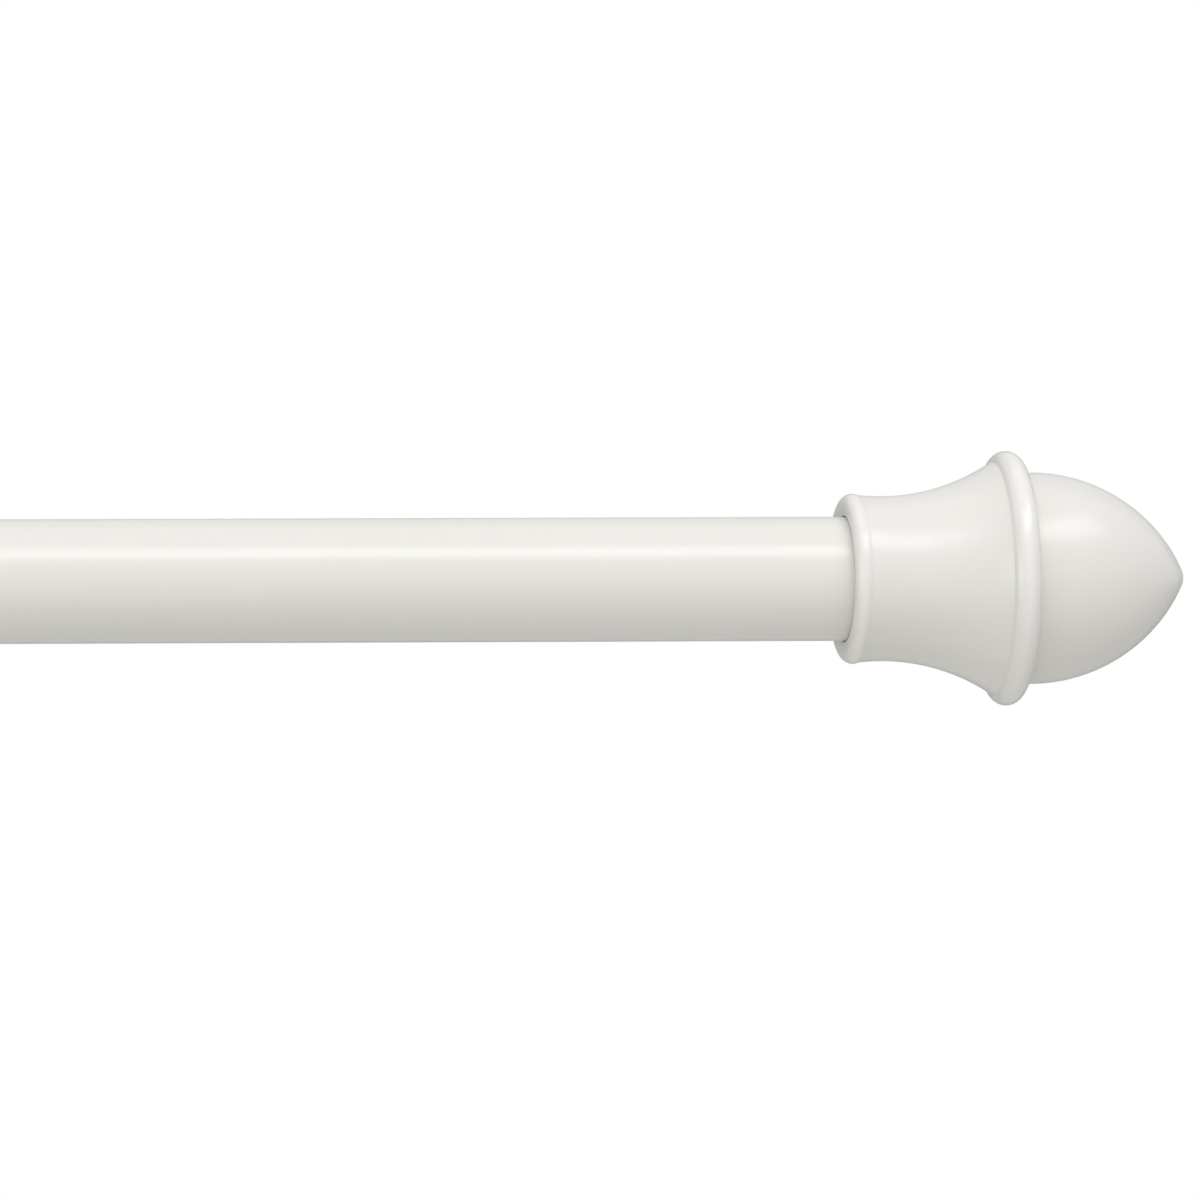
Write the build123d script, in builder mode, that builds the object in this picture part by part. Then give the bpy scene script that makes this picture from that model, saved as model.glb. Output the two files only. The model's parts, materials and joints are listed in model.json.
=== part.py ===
from build123d import *
import math
import os

# Adjustable cafe rod: an inner tube slides in an outer tube, and a slip-on acorn finial closes each end.
# Millimetres. X runs along the rod, Z is up, and the origin is on the rod's axis at the right bracket.

# Tubes
outer_tube_diameter = 15.875
outer_tube_wall = 0.5
outer_tube_length = 660.4
telescope_gap = 1.0875  # radial room between the tubes, which leaves an inner tube of 12.7 mm
inner_tube_wall = 0.5
slide_clearance = 0.05  # between each tube and what slides on it
exposed_inner_length = 34.8  # bare inner tube from the outer tube's mouth to the left finial, rod closed
end_room = 50.8  # from the glide to the outer tube's right end, rod closed
bracket_to_finial = 25.0  # from the right bracket to the right finial's mouth

# Bushes on the two ends of the inner tube
fixed_clearance = 0.03  # between a bush and the tube that it is pushed on or into
glide_head_length = 12.0
glide_head_chamfer = 0.6
glide_plug_length = 14.0
glide_plug_wall = 1.5
reducer_stop_thickness = 1.0
reducer_stop_width = 1.6
reducer_mouth_setback = 1.0
reducer_chamfer = 0.4

# Finial bell, measured from its mouth
mouth_gap = 0.15
socket_depth = 16.0
lip_height = 2.81  # from the bore to the lip's crest
lip_radius = 1.38  # round of the lip, from the mouth face over the crest
lip_face_radius = 4.0  # slow round of the mouth face, from the lip in to the bore
lip_edge_fillet = 0.12  # on the mouth face's inner edge
lip_crease_angle = 61.5  # where the flare leaves the lip, above the lip's centre
flare_radius = 26.7
flare_meet_angle = 13.0  # where the flare meets the collar, above the collar's centre
lip_crease_fillet = 0.5
collar_crease_fillet = 0.4
collar_position = 21.4
collar_rise = 5.4  # the collar's crest stands this far above the lip's crest
collar_radius = 1.8
shell_wall = 2.0
sleeve_wall = 1.4
stop_thickness = 1.2
stop_width = 2.4

# Crush ribs in the socket and gussets round it
rib_count = 6
rib_width = 0.9
rib_root = 0.3  # depth of a rib's foot in the socket wall
rib_start = 3.0
rib_end_gap = 1.0
gusset_count = 6
gusset_thickness = 1.2
gusset_spigot_gap = 2.5

# Acorn and the spigot that holds it in the bell
acorn_inset = 0.95  # step from the collar's back face in to the acorn
acorn_length = 21.4
acorn_land = 1.4  # straight foot of the acorn, before the ogive starts
acorn_tip_radius = 2.6
acorn_wall = 2.0
acorn_core_tip_radius = 2.5
shoulder_width = 1.6
spigot_length = 4.0
spigot_wall = 1.6
spigot_lead = 0.4
spigot_clearance = 0.05
snap_setback = 2.0  # from the collar's back face to the crest of the snap ridge
snap_rise = 0.3  # the ridge's crest stands this far above the spigot
snap_flank_angle = 30.0  # slope of the ridge's two flanks
snap_clearance = 0.1

# Tube radii
outer_radius = outer_tube_diameter / 2
outer_bore_radius = outer_radius - outer_tube_wall
inner_radius = outer_bore_radius - telescope_gap
inner_bore_radius = inner_radius - inner_tube_wall
mouth_bore_radius = inner_radius + slide_clearance
mouth_bend_radius = telescope_gap / 2  # the mouth is rolled in on half the room between the tubes
mouth_roll_radius = mouth_bend_radius + outer_tube_wall

# Places along the rod
right_mouth = bracket_to_finial
outer_end = right_mouth + socket_depth
outer_mouth = outer_end - outer_tube_length
left_mouth = outer_mouth - exposed_inner_length
left_stop = left_mouth - socket_depth
inner_left_end = left_stop + reducer_stop_thickness
glide_end = outer_end - end_room
inner_right_end = glide_end - glide_head_length

# Radii and places of the bell's profile
bore_radius = outer_radius + mouth_gap
lip_centre_radius = bore_radius + lip_height - lip_radius
collar_crest_radius = bore_radius + lip_height + collar_rise
collar_centre_radius = collar_crest_radius - collar_radius
back_position = collar_position + collar_radius
mouth_face_height = lip_centre_radius - bore_radius
lip_edge = (lip_face_radius - math.sqrt(lip_face_radius**2 - mouth_face_height**2), bore_radius)
lip_crease = (
    lip_radius + lip_radius * math.cos(math.radians(lip_crease_angle)),
    lip_centre_radius + lip_radius * math.sin(math.radians(lip_crease_angle)),
)
flare_end = (
    collar_position - collar_radius * math.cos(math.radians(flare_meet_angle)),
    collar_centre_radius + collar_radius * math.sin(math.radians(flare_meet_angle)),
)
sleeve_radius = bore_radius + sleeve_wall
sleeve_end = socket_depth + stop_thickness
stop_bore_radius = outer_radius - stop_width
rib_tip_radius = outer_radius + slide_clearance

# Radii and places of the acorn's profile
acorn_radius = collar_centre_radius - acorn_inset
spigot_radius = acorn_radius - shoulder_width
seat_radius = spigot_radius + spigot_clearance
core_radius = spigot_radius - spigot_wall
spigot_end = back_position - spigot_length
snap_position = back_position - snap_setback
ogive_start = back_position + acorn_land
tip_position = back_position + acorn_length
tip_centre = tip_position - acorn_tip_radius
# The ogive is level at the foot and touches the tip's ball from inside, which fixes its radius
ogive_radius = ((tip_centre - ogive_start) ** 2 + acorn_radius**2 - acorn_tip_radius**2) / (
    2 * (acorn_radius - acorn_tip_radius)
)
ogive_centre_drop = ogive_radius - acorn_radius
tip_join_scale = acorn_tip_radius / (ogive_radius - acorn_tip_radius)
tip_join = (tip_centre + tip_join_scale * (tip_centre - ogive_start), tip_join_scale * ogive_centre_drop)


def acorn_core_point(radius):
    """Point on the acorn's inner arc, one wall inside the ogive, at a distance from the axis."""
    reach = math.sqrt((ogive_radius - acorn_wall) ** 2 - (radius + ogive_centre_drop) ** 2)
    return (ogive_start + reach, radius)


def snap_ridge(clearance):
    """Corners of the snap ridge, sunk a little in the spigot, or of the groove that clears it all round."""
    foot_radius = spigot_radius - spigot_clearance
    crest_radius = spigot_radius + snap_rise + clearance
    half_width = (crest_radius - foot_radius) / math.tan(math.radians(snap_flank_angle))
    return [
        (snap_position - half_width, foot_radius),
        (snap_position, crest_radius),
        (snap_position + half_width, foot_radius),
    ]


os.makedirs("parts", exist_ok=True)

# Outer tube, cut square at the right end and rolled in at the mouth that the inner tube slides through
with BuildPart() as outer_tube:
    with BuildSketch() as outer_section:
        with BuildLine():
            Line((outer_end, outer_radius), (outer_mouth + mouth_roll_radius, outer_radius))
            RadiusArc(
                (outer_mouth + mouth_roll_radius, outer_radius),
                (outer_mouth, outer_radius - mouth_roll_radius),
                -mouth_roll_radius,
            )
            Polyline(
                (outer_mouth, outer_radius - mouth_roll_radius),
                (outer_mouth, mouth_bore_radius),
                (outer_mouth + outer_tube_wall, mouth_bore_radius),
                (outer_mouth + outer_tube_wall, outer_bore_radius - mouth_bend_radius),
            )
            RadiusArc(
                (outer_mouth + outer_tube_wall, outer_bore_radius - mouth_bend_radius),
                (outer_mouth + mouth_roll_radius, outer_bore_radius),
                mouth_bend_radius,
            )
            Polyline(
                (outer_mouth + mouth_roll_radius, outer_bore_radius),
                (outer_end, outer_bore_radius),
                (outer_end, outer_radius),
            )
        make_face()
    revolve(axis=Axis.X)

# Inner tube
with BuildPart() as inner_tube:
    with BuildSketch(Plane.YZ.offset(inner_left_end)) as inner_section:
        Circle(inner_radius)
        Circle(inner_bore_radius, mode=Mode.SUBTRACT)
    extrude(amount=inner_right_end - inner_left_end)

# Glide: a bush plugged into the hidden end of the inner tube, with a head that runs in the outer tube
glide_head_radius = outer_bore_radius - slide_clearance
glide_plug_radius = inner_bore_radius - fixed_clearance
with BuildPart() as inner_tube_glide:
    with BuildSketch(Plane.YZ.offset(inner_right_end)) as glide_head_section:
        Circle(glide_head_radius)
    extrude(amount=glide_head_length)
    chamfer(inner_tube_glide.edges().filter_by(GeomType.CIRCLE), length=glide_head_chamfer)
    with BuildSketch(Plane.YZ.offset(inner_right_end)) as glide_plug_section:
        Circle(glide_plug_radius)
    extrude(amount=-glide_plug_length)
    with BuildSketch(Plane.YZ.offset(inner_right_end - glide_plug_length)) as glide_core_section:
        Circle(glide_plug_radius - glide_plug_wall)
    extrude(amount=glide_plug_length + glide_head_length, mode=Mode.SUBTRACT)

# Reducer sleeve: a stepped bush that brings the inner tube's left end up to the outer tube's size
reducer_bore_radius = inner_radius + fixed_clearance
reducer_mouth = left_mouth - reducer_mouth_setback
with BuildPart() as reducer_sleeve:
    with BuildSketch(Plane.YZ.offset(left_stop)) as reducer_body_section:
        Circle(outer_radius)
    extrude(amount=reducer_mouth - left_stop)
    chamfer(reducer_sleeve.edges().filter_by(GeomType.CIRCLE), length=reducer_chamfer)
    with BuildSketch(Plane.YZ.offset(inner_left_end)) as reducer_bore_section:
        Circle(reducer_bore_radius)
    extrude(amount=reducer_mouth - inner_left_end, mode=Mode.SUBTRACT)
    with BuildSketch(Plane.YZ.offset(left_stop)) as reducer_stop_section:
        Circle(inner_radius - reducer_stop_width)
    extrude(amount=reducer_stop_thickness, mode=Mode.SUBTRACT)

# Flare of the bell, an arc with its hollow side outwards
flare_line = RadiusArc(lip_crease, flare_end, -flare_radius)
flare_centre = flare_line.arc_center

# Hollow of the bell behind its shell, slotted where the gussets stand between the sleeve and the shell
gusset_foot_radius = bore_radius + sleeve_wall / 2
with BuildPart() as bell_hollow:
    with BuildSketch() as hollow_section:
        with Locations((flare_centre.X, sleeve_radius)):
            Rectangle(
                back_position - flare_centre.X,
                seat_radius - sleeve_radius,
                align=(Align.MIN, Align.MIN),
            )
        with Locations((flare_centre.X, flare_centre.Y)):
            Circle(flare_radius + shell_wall, mode=Mode.SUBTRACT)
        with Locations((sleeve_end, 0)):
            Rectangle(back_position - sleeve_end, sleeve_radius, align=(Align.MIN, Align.MIN))
    revolve(axis=Axis.X)
    with BuildSketch(Plane.YZ) as gusset_section:
        with PolarLocations((gusset_foot_radius + acorn_radius) / 2, gusset_count):
            Rectangle(acorn_radius - gusset_foot_radius, gusset_thickness)
    extrude(amount=spigot_end - gusset_spigot_gap, mode=Mode.SUBTRACT)

# Bell: rounded lip, flared shell and half-round collar, with a ribbed socket inside
with BuildPart() as bell:
    with BuildSketch() as bell_section:
        with BuildLine():
            RadiusArc(lip_edge, (0, lip_centre_radius), lip_face_radius)
            RadiusArc((0, lip_centre_radius), lip_crease, lip_radius)
            add(flare_line)
            ThreePointArc(
                flare_end,
                (collar_position, collar_crest_radius),
                (back_position, collar_centre_radius),
            )
            Polyline(
                (back_position, collar_centre_radius),
                (back_position, stop_bore_radius),
                (socket_depth, stop_bore_radius),
                (socket_depth, bore_radius),
                lip_edge,
            )
        make_face()
        fillet(bell_section.vertices().sort_by_distance(lip_edge)[0], radius=lip_edge_fillet)
        fillet(bell_section.vertices().sort_by_distance(lip_crease)[0], radius=lip_crease_fillet)
        fillet(bell_section.vertices().sort_by_distance(flare_end)[0], radius=collar_crease_fillet)
    revolve(axis=Axis.X)
    add(bell_hollow.part, mode=Mode.SUBTRACT)
    with BuildSketch() as snap_groove_section:
        with BuildLine():
            Polyline(*snap_ridge(snap_clearance), close=True)
        make_face()
    revolve(axis=Axis.X, mode=Mode.SUBTRACT)
    with BuildSketch(Plane.YZ.offset(rib_start)) as rib_section:
        with PolarLocations((rib_tip_radius + bore_radius + rib_root) / 2, rib_count):
            Rectangle(bore_radius + rib_root - rib_tip_radius, rib_width)
    extrude(amount=socket_depth - rib_end_gap - rib_start)

# Acorn: hollow ogive dome with a round tip, held in the collar by a spigot with a snap ridge
core_join = acorn_core_point(core_radius)
core_middle = acorn_core_point((core_radius + acorn_core_tip_radius) / 2)
core_tip = acorn_core_point(acorn_core_tip_radius)
with BuildPart() as acorn:
    with BuildSketch() as acorn_section:
        with BuildLine():
            Polyline(
                core_join,
                (spigot_end, core_radius),
                (spigot_end, spigot_radius),
                (back_position, spigot_radius),
                (back_position, acorn_radius),
                (ogive_start, acorn_radius),
            )
            ogive = TangentArc((ogive_start, acorn_radius), tip_join, tangent=(1, 0))
            TangentArc(tip_join, (tip_position, 0), tangent=ogive % 1)
            Polyline((tip_position, 0), (core_tip[0], 0), core_tip)
            ThreePointArc(core_tip, core_middle, core_join)
        make_face()
        spigot_rim = acorn_section.vertices().group_by(Axis.X)[0].sort_by(Axis.Y)[-1]
        chamfer(spigot_rim, length=spigot_lead)
        with BuildLine():
            Polyline(*snap_ridge(0), close=True)
        make_face()
    revolve(axis=Axis.X)

# The same two mouldings close both ends: as drawn on the right, turned end for end on the left
right_end = Location((right_mouth, 0, 0))
left_end = Location((left_mouth, 0, 0), (0, 0, 180))

with BuildPart() as right_finial_bell:
    with Locations(right_end):
        add(bell.part)

with BuildPart() as right_finial_acorn:
    with Locations(right_end):
        add(acorn.part)

with BuildPart() as left_finial_bell:
    with Locations(left_end):
        add(bell.part)

with BuildPart() as left_finial_acorn:
    with Locations(left_end):
        add(acorn.part)

nodes = {
    "outer_tube": outer_tube,
    "inner_tube": inner_tube,
    "inner_tube_glide": inner_tube_glide,
    "reducer_sleeve": reducer_sleeve,
    "right_finial_bell": right_finial_bell,
    "right_finial_acorn": right_finial_acorn,
    "left_finial_bell": left_finial_bell,
    "left_finial_acorn": left_finial_acorn,
}
for node_name, node in nodes.items():
    node.part.label = node_name
    export_step(node.part, f"parts/{node_name}.step")
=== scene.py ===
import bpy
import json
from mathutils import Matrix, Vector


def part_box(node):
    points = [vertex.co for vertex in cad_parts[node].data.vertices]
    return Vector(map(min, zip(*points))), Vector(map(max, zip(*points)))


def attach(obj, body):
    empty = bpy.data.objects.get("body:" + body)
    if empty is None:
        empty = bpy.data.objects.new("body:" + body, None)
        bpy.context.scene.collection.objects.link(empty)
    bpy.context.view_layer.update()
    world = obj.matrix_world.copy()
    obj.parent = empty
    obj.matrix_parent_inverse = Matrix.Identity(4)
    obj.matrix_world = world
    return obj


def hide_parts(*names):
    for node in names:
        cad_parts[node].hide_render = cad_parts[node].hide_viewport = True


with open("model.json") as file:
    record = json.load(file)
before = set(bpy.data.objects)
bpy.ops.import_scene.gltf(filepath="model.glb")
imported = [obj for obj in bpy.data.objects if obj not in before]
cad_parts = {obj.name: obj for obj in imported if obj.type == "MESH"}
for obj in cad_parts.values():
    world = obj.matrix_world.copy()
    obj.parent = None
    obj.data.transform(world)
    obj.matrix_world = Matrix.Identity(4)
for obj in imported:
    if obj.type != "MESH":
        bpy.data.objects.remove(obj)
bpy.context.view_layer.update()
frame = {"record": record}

import json
import math

import bpy
import numpy as np
from bpy.props import FloatProperty, FloatVectorProperty, IntProperty, PointerProperty
from mathutils import Matrix, Vector

bl_info = {
    "name": "Cafe Rod",
    "version": (1, 0, 0),
    "blender": (4, 5, 0),
    "location": "3D View > Sidebar > Cafe Rod",
    "description": "Turns the tubes, bushes and acorn finials of a telescoping cafe curtain rod",
    "category": "Add Mesh",
}

MM = 0.001
MICRON = 1e-6

# Sizes that the frame gives: the two tube radii are those of the bracket seats
SEATS = {mount["name"]: mount["dims"]["r_mm"] * MM for mount in frame["record"]["mounts"]}
OUTER_RADIUS = SEATS["right_bracket_seat"]
INNER_RADIUS = SEATS["left_bracket_seat"]

# Each finial's body, its bell and acorn nodes, and which way its tip points along X
FINIALS = {
    "right": {
        "body": "right_finial",
        "bell": "right_finial_bell",
        "acorn": "right_finial_acorn",
        "facing": 1,
    },
    "left": {
        "body": "left_finial",
        "bell": "left_finial_bell",
        "acorn": "left_finial_acorn",
        "facing": -1,
    },
}

# Points along the outlines of the tubes: on a cut edge, and from one end to the other
EDGE_POINTS = 5
TUBE_POINTS = 80


def linear(hex_colour):
    """sRGB hex value to linear colour: each channel over 255, then the sRGB curve undone."""
    channels = [int(hex_colour[i : i + 2], 16) / 255 for i in (1, 3, 5)]
    return [c / 12.92 if c <= 0.04045 else ((c + 0.055) / 1.055) ** 2.4 for c in channels]


def length(name, description, millimetres):
    """A length setting, given in millimetres and kept in metres."""
    return FloatProperty(
        name=name, description=description, default=millimetres * MM, min=0, precision=5, unit="LENGTH"
    )


def angle(name, description, degrees):
    """An angle setting, given in degrees and kept in radians."""
    return FloatProperty(name=name, description=description, default=math.radians(degrees), subtype="ANGLE")


def colour(name, description, hex_colour):
    """A colour setting, given as an sRGB hex value and kept linear."""
    return FloatVectorProperty(
        name=name, description=description, default=linear(hex_colour), min=0, max=1, subtype="COLOR"
    )


def level(name, description, default):
    """A plain number from zero up."""
    return FloatProperty(name=name, description=description, default=default, min=0, precision=3)


def whole(name, description, default, least):
    """A whole number from the least one up."""
    return IntProperty(name=name, description=description, default=default, min=least)


class TubeSizes(bpy.types.PropertyGroup):
    """Sizes of the two steel tubes and of the bushes between and on them."""

    wall: length("Wall", "Thickness of the steel of both tubes", 0.5)
    slide_clearance: length("Slide clearance", "Room between a tube and what slides on it", 0.05)
    fixed_clearance: length("Fixed clearance", "Room between a bush and the tube that holds it", 0.03)
    edge: length("Edge break", "Round on the cut edges of the tubes", 0.08)
    glide_plug: length("Glide plug", "Length of the glide that is plugged into the inner tube", 14.0)
    glide_wall: length("Glide wall", "Wall of the glide's plug", 1.5)
    glide_chamfer: length("Glide chamfer", "Chamfer on the rims of the glide's head", 0.6)
    reducer_stop: length("Reducer stop", "Thickness of the stop inside the reducer sleeve", 1.0)
    reducer_stop_width: length("Reducer stop width", "How far the stop reaches in past the inner tube", 1.6)
    reducer_chamfer: length("Reducer chamfer", "Chamfer on the rims of the reducer sleeve", 0.4)
    segments: whole("Segments", "Faces round each tube and bush", 192, 24)


class FinialSizes(bpy.types.PropertyGroup):
    """Sizes of a finial: the bell, measured from its mouth, and the acorn in its collar."""

    mouth_gap: length("Mouth gap", "Room between the tube and the bell's socket", 0.15)
    socket_depth: length("Socket depth", "From the mouth to the stop", 16.0)
    lip_height: length("Lip height", "From the socket's wall to the lip's crest", 2.81)
    lip_radius: length("Lip radius", "Round of the lip, from the mouth face over the crest", 1.38)
    lip_face: length("Lip face", "Radius of the mouth face, from the lip's round in to the bore", 4.0)
    lip_edge: length("Lip edge", "Fillet on the mouth face's inner edge", 0.12)
    lip_crease_angle: angle("Lip crease", "Where the flare leaves the lip, above the lip's centre", 61.5)
    lip_fillet: length("Lip fillet", "Fillet between lip and flare", 0.5)
    flare_radius: length("Flare radius", "Radius of the hollow flare", 26.7)
    flare_meet_angle: angle("Flare end", "Where the flare meets the collar, above its centre", 13.0)
    collar_position: length("Collar place", "From the mouth to the collar's crest", 21.4)
    collar_rise: length("Collar rise", "Height of the collar's crest above the lip's", 5.4)
    collar_radius: length("Collar radius", "Radius of the half-round collar", 1.8)
    collar_fillet: length("Collar fillet", "Fillet between flare and collar", 0.4)
    shell_wall: length("Shell wall", "Wall of the bell behind its flare", 2.0)
    sleeve_wall: length("Sleeve wall", "Wall of the socket's sleeve", 1.4)
    stop_thickness: length("Stop thickness", "Thickness of the stop at the socket's end", 1.2)
    stop_width: length("Stop width", "How far the stop reaches in past the tube's face", 2.4)
    rib_count: whole("Ribs", "Crush ribs in the socket, and gussets behind it", 6, 3)
    rib_width: length("Rib width", "Width of a crush rib", 0.9)
    rib_start: length("Rib start", "From the mouth to the ribs", 3.0)
    rib_end_gap: length("Rib end gap", "From the ribs to the stop", 1.0)
    rib_ramp: length("Rib ramp", "Length of the slope at a rib's sides and ends", 0.25)
    rib_clearance: length("Rib clearance", "Room between the ribs and the tube", 0.05)
    gusset_thickness: length("Gusset thickness", "Thickness of a gusset between sleeve and shell", 1.2)
    gusset_gap: length("Gusset gap", "From the gussets to the acorn's spigot", 2.5)
    acorn_inset: length("Acorn inset", "Step from the collar's back face in to the acorn", 0.95)
    acorn_land: length("Acorn land", "Straight foot of the acorn, before the ogive", 1.4)
    tip_radius: length("Tip radius", "Radius of the acorn's round tip", 2.6)
    acorn_wall: length("Acorn wall", "Wall of the hollow acorn", 2.0)
    core_tip_radius: length("Core end", "Radius of the flat end of the acorn's hollow", 2.5)
    shoulder: length("Shoulder", "Step from the acorn in to its spigot", 1.6)
    spigot_length: length("Spigot length", "From the acorn's foot to the end of its spigot", 4.0)
    spigot_wall: length("Spigot wall", "Wall of the spigot", 1.6)
    spigot_lead: length("Spigot lead", "Chamfer on the spigot's rim", 0.4)
    spigot_clearance: length("Spigot clearance", "Room between the spigot and its seat", 0.05)
    snap_setback: length("Snap place", "From the collar's back face to the snap ridge", 2.0)
    snap_rise: length("Snap rise", "Height of the snap ridge above the spigot", 0.3)
    snap_clearance: length("Snap clearance", "Room round the snap ridge in its groove", 0.1)
    snap_flank: angle("Snap flank", "Slope of the snap ridge's flanks", 30.0)
    # Bands on the lip and the collar where a painted highlight is laid, and the roughness is lowered
    lip_highlight: length("Lip rub", "From the mouth to the middle of the band that is rubbed on the lip", 0.95)
    lip_highlight_reach: length("Lip rub reach", "Half of that band's width", 0.9)
    collar_highlight_reach: length("Collar rub reach", "Half of the width of the collar's rubbed band", 1.7)
    segments: whole("Segments", "Faces round each moulding", 240, 48)


class RodFinishes(bpy.types.PropertyGroup):
    """Colours of the rod's finishes."""

    enamel: colour("Enamel", "Baked enamel of the tubes", "#DEDCD8")
    enamel_thin: colour("Thin enamel", "The same enamel where its film is a little thinner", "#DAD9D4")
    moulding: colour("Moulding", "Polystyrene of the finials", "#DEDCD8")
    moulding_flow: colour("Moulding flow", "The same plastic where its flow lines lie", "#DAD9D4")
    # Painted highlight: a paler tone laid on the proud lip and collar of each finial
    moulding_highlight: colour("Moulding rim", "The same plastic where a proud rim is rubbed smooth", "#E4E2DE")
    bush: colour("Bush", "Natural acetal of the glide and the reducer sleeve", "#E2E0D6")
    steel: colour("Steel", "Bare strip steel inside the tubes", "#B9BABA")


class StudioSettings(bpy.types.PropertyGroup):
    """Light, floor and camera of the studio."""

    floor_drop: length("Floor drop", "From the rod's axis down to the floor", 350.0)
    floor_reach: length("Floor reach", "Half of the floor's side", 6000.0)
    floor_colour: colour("Floor", "Pale floor", "#D4D4D2")
    floor_lift: level("Floor lift", "What the lit floor lacks to show as white", 0.27)
    surround: level("Surround", "Light of the white surround on the object, from front and back", 1.275)
    surround_ends: level("Surround ends", "Light of the same surround from the rod's two ends", 0.2)
    surround_top: level("Surround top", "Light of the same surround from straight above", 0.88)
    key_level: level("Key level", "Radiance of the middle one of the three overhead softboxes", 2.55)
    key_left_level: level("Key left level", "Radiance of the left one", 1.8)
    key_right_level: level("Key right level", "Radiance of the right one", 2.3)
    key_azimuth: angle("Key azimuth", "Bearing of the middle softbox, right of straight ahead", 17.0)
    key_spacing: angle("Key spacing", "From one softbox to the next, round the rod", 38.0)
    key_elevation: angle("Key elevation", "Height of the softboxes above the horizon", 51.0)
    key_width: length("Key width", "Level side of a softbox", 1350.0)
    key_height: length("Key height", "Sloping side of a softbox", 850.0)
    strip_level: level("Strip level", "Radiance of the upright strip light at the left", 1.5)
    strip_azimuth: angle("Strip azimuth", "Bearing of the strip light, right of straight ahead", -55.0)
    strip_width: length("Strip width", "Level side of the strip light", 200.0)
    strip_height: length("Strip height", "Upright side of the strip light", 1500.0)
    panel_level: level("Panel level", "Radiance of the upright panel at the left", 1.85)
    panel_azimuth: angle("Panel azimuth", "Bearing of the panel, right of straight ahead", -72.0)
    panel_width: length("Panel width", "Level side of the panel", 1900.0)
    panel_height: length("Panel height", "Upright side of the panel", 1000.0)
    card_near_level: level("Near card level", "Radiance of the grey card on the floor behind the rod", 0.65)
    card_far_level: level("Far card level", "Radiance of the grey card beyond it", 0.35)
    card_low_level: level("Low card level", "Radiance of the grey card that stands behind the rod", 0.28)
    card_high_level: level("High card level", "Radiance of the grey card above it", 0.64)
    card_start: length("Card start", "From the rod back to the floor card's near edge", 60.0)
    card_split: length("Card split", "From the rod back to the seam of the floor cards", 700.0)
    card_distance: length("Card distance", "From the rod back to the standing cards", 2500.0)
    card_middle: length("Card middle", "From the rod's height up to the seam of the standing cards", 900.0)
    card_top: length("Card top", "From the rod's height up to the high card's upper edge", 4500.0)
    card_reach: length("Card reach", "Half of the cards' length along the rod", 3200.0)
    card_lift: length("Card lift", "From the floor up to the floor card", 3.5)
    lamp_distance: length("Lamp distance", "From the object to each lamp", 2500.0)
    lens: FloatProperty(name="Lens", description="Focal length", default=1000.0, unit="CAMERA")
    view_azimuth: angle("View azimuth", "Camera's bearing round the rod", -10.7)
    view_roll: angle("View roll", "Camera's roll", 0.2)


def arc(centre, radius, start, end, count):
    """Points on a circle: centre plus radius times the cosine and sine of an angle, start to end."""
    turn = np.linspace(start, end, count)
    return np.column_stack([centre[0] + radius * np.cos(turn), centre[1] + radius * np.sin(turn)])


def bearing(centre, point):
    """Angle of a point as seen from a centre, in radians."""
    return math.atan2(point[1] - centre[1], point[0] - centre[0])


def straight(start, end, count=2):
    """Evenly spaced points from start to end."""
    return np.linspace(start, end, count)


def outline(*stretches):
    """Stretches of points laid end to end, without the points that repeat where two stretches meet."""
    same_place = 0.001 * MM
    points = np.vstack(stretches)
    step = np.linalg.norm(np.diff(points, axis=0), axis=1)
    return points[np.append(True, step > same_place)]


def circles_meet(centre_a, radius_a, centre_b, radius_b, near):
    """The crossing of two circles that lies nearer to a point.

    The chord through both crossings cuts the line of centres at a known distance, and the crossings
    lie half a chord to either side of it.
    """
    a, b = np.array(centre_a), np.array(centre_b)
    apart = np.linalg.norm(b - a)
    along = (apart**2 + radius_a**2 - radius_b**2) / (2 * apart)
    half_chord = math.sqrt(radius_a**2 - along**2)
    ahead = (b - a) / apart
    aside = np.array([-ahead[1], ahead[0]])
    crossings = [a + along * ahead + side * half_chord * aside for side in (1, -1)]
    return min(crossings, key=lambda point: np.linalg.norm(point - np.array(near)))


def turned(profile, origin, facing, segments, radii=None):
    """A turned surface: a profile of (along, radius) points carried round the X axis.

    A vertex is at origin plus facing times along, and at radius times the cosine and sine of its turn.
    A profile that ends on the axis at both ends closes in two poles, any other closes on itself.
    Radii may hold a radius for each profile point and each turn. Gives vertices and faces.
    """
    turn = np.arange(segments) * 2 * math.pi / segments
    along = np.repeat(profile[:, :1], segments, axis=1)
    around = np.repeat(profile[:, 1:], segments, axis=1) if radii is None else radii
    grid = np.stack(
        [origin + facing * along, facing * around * np.cos(turn), around * np.sin(turn)], axis=-1
    )
    poles = profile[0, 1] == 0
    rows = len(profile) - 2 if poles else len(profile)
    body = grid[1:-1] if poles else grid
    here = np.arange(rows - 1 if poles else rows)[:, None]
    there = (here + 1) % rows
    column = np.arange(segments)[None, :]
    after = (column + 1) % segments
    ring, next_ring = here * segments, there * segments
    quads = np.stack(
        [ring + column, ring + after, next_ring + after, next_ring + column], axis=-1
    ).reshape(-1, 4)
    vertices, faces = body.reshape(-1, 3), quads.tolist()
    if poles:
        first, last = rows * segments, rows * segments + 1
        vertices = np.vstack([vertices, grid[0, 0], grid[-1, 0]])
        top = (rows - 1) * segments
        near_end = np.stack([np.full(segments, first), after[0], column[0]], axis=-1)
        far_end = np.stack([np.full(segments, last), top + column[0], top + after[0]], axis=-1)
        faces += near_end.tolist() + far_end.tolist()
    return vertices, faces


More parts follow.
